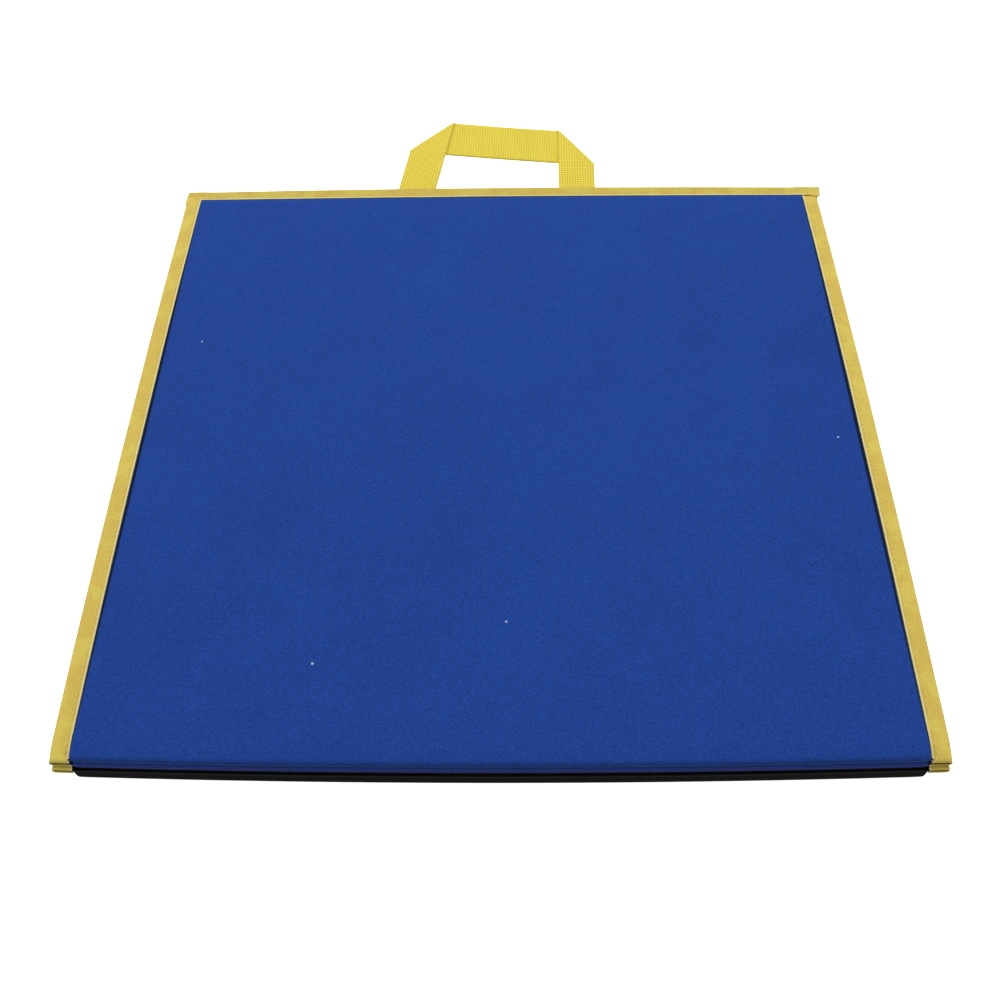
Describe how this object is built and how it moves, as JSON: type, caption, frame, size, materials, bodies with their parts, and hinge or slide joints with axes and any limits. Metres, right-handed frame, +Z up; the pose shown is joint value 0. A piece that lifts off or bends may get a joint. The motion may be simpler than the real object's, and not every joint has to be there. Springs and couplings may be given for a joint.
{
  "type": "folding kneeling pad",
  "caption": "Square kneeling pad of two thin padded panels that fold on a taped cloth hinge, with bound sides and a webbing carrying handle.",
  "frame": {"origin": "middle of the face that lies on the ground, under the lower panel", "axes": "+Z up from the ground through both panels, +Y towards the taped hinge and its handle, +X to the right along the hinge as seen from the front edge"},
  "size_m": [0.453, 0.5058, 0.03],
  "materials": {
    "blue_felt": "matt needled felt",
    "black_cloth": "matt needled felt",
    "lining_cloth": "matt plain cloth",
    "foam": "closed-cell sheet foam",
    "binding_tape": "matt plain-weave tape",
    "webbing": "flat woven webbing with a slight sheen",
    "pale_thread": "spun sewing thread",
    "blue_thread": "spun sewing thread",
    "black_thread": "spun sewing thread"
  },
  "bodies": {
    "lower_panel": {"lower_cover": "black_cloth", "lower_lining": "lining_cloth", "lower_foam": "foam", "lower_left_tape": "binding_tape", "lower_left_tape_stitching": "pale_thread", "lower_right_tape": "binding_tape", "lower_right_tape_stitching": "pale_thread", "lower_front_stitching": "black_thread"},
    "hinge": {"hinge_tape": "binding_tape", "hinge_tape_stitching": "pale_thread", "upper_hinge_flange": "blue_felt", "lower_hinge_flange": "black_cloth", "handle_left_tab": "webbing", "handle_left_tab_stitching": "pale_thread", "handle_right_tab": "webbing", "handle_right_tab_stitching": "pale_thread"},
    "upper_panel": {"upper_cover": "blue_felt", "upper_lining": "lining_cloth", "upper_foam": "foam", "upper_left_tape": "binding_tape", "upper_left_tape_stitching": "pale_thread", "upper_right_tape": "binding_tape", "upper_right_tape_stitching": "pale_thread", "upper_front_stitching": "blue_thread"},
    "handle": {"handle_strap": "webbing"}
  },
  "joints": [
    {"name": "panel_fold", "type": "hinge", "parent": "lower_panel", "child": "upper_panel", "pos_m": [0, 0.215, 0.01015], "axis": [-1, 0, 0], "range_deg": [0, 180]},
    {"name": "tape_fold", "type": "hinge", "parent": "lower_panel", "child": "hinge", "pos_m": [0, 0.215, 0.01015], "axis": [-1, 0, 0], "range_deg": [0, 90]},
    {"name": "handle_swing", "type": "hinge", "parent": "hinge", "child": "handle", "pos_m": [0, 0.22625, 0.00675], "axis": [1, 0, 0], "range_deg": [-109, 67]}
  ],
  "couplings": [
    {"joint": "tape_fold", "follows": "panel_fold", "ratio": 0.5}
  ]
}
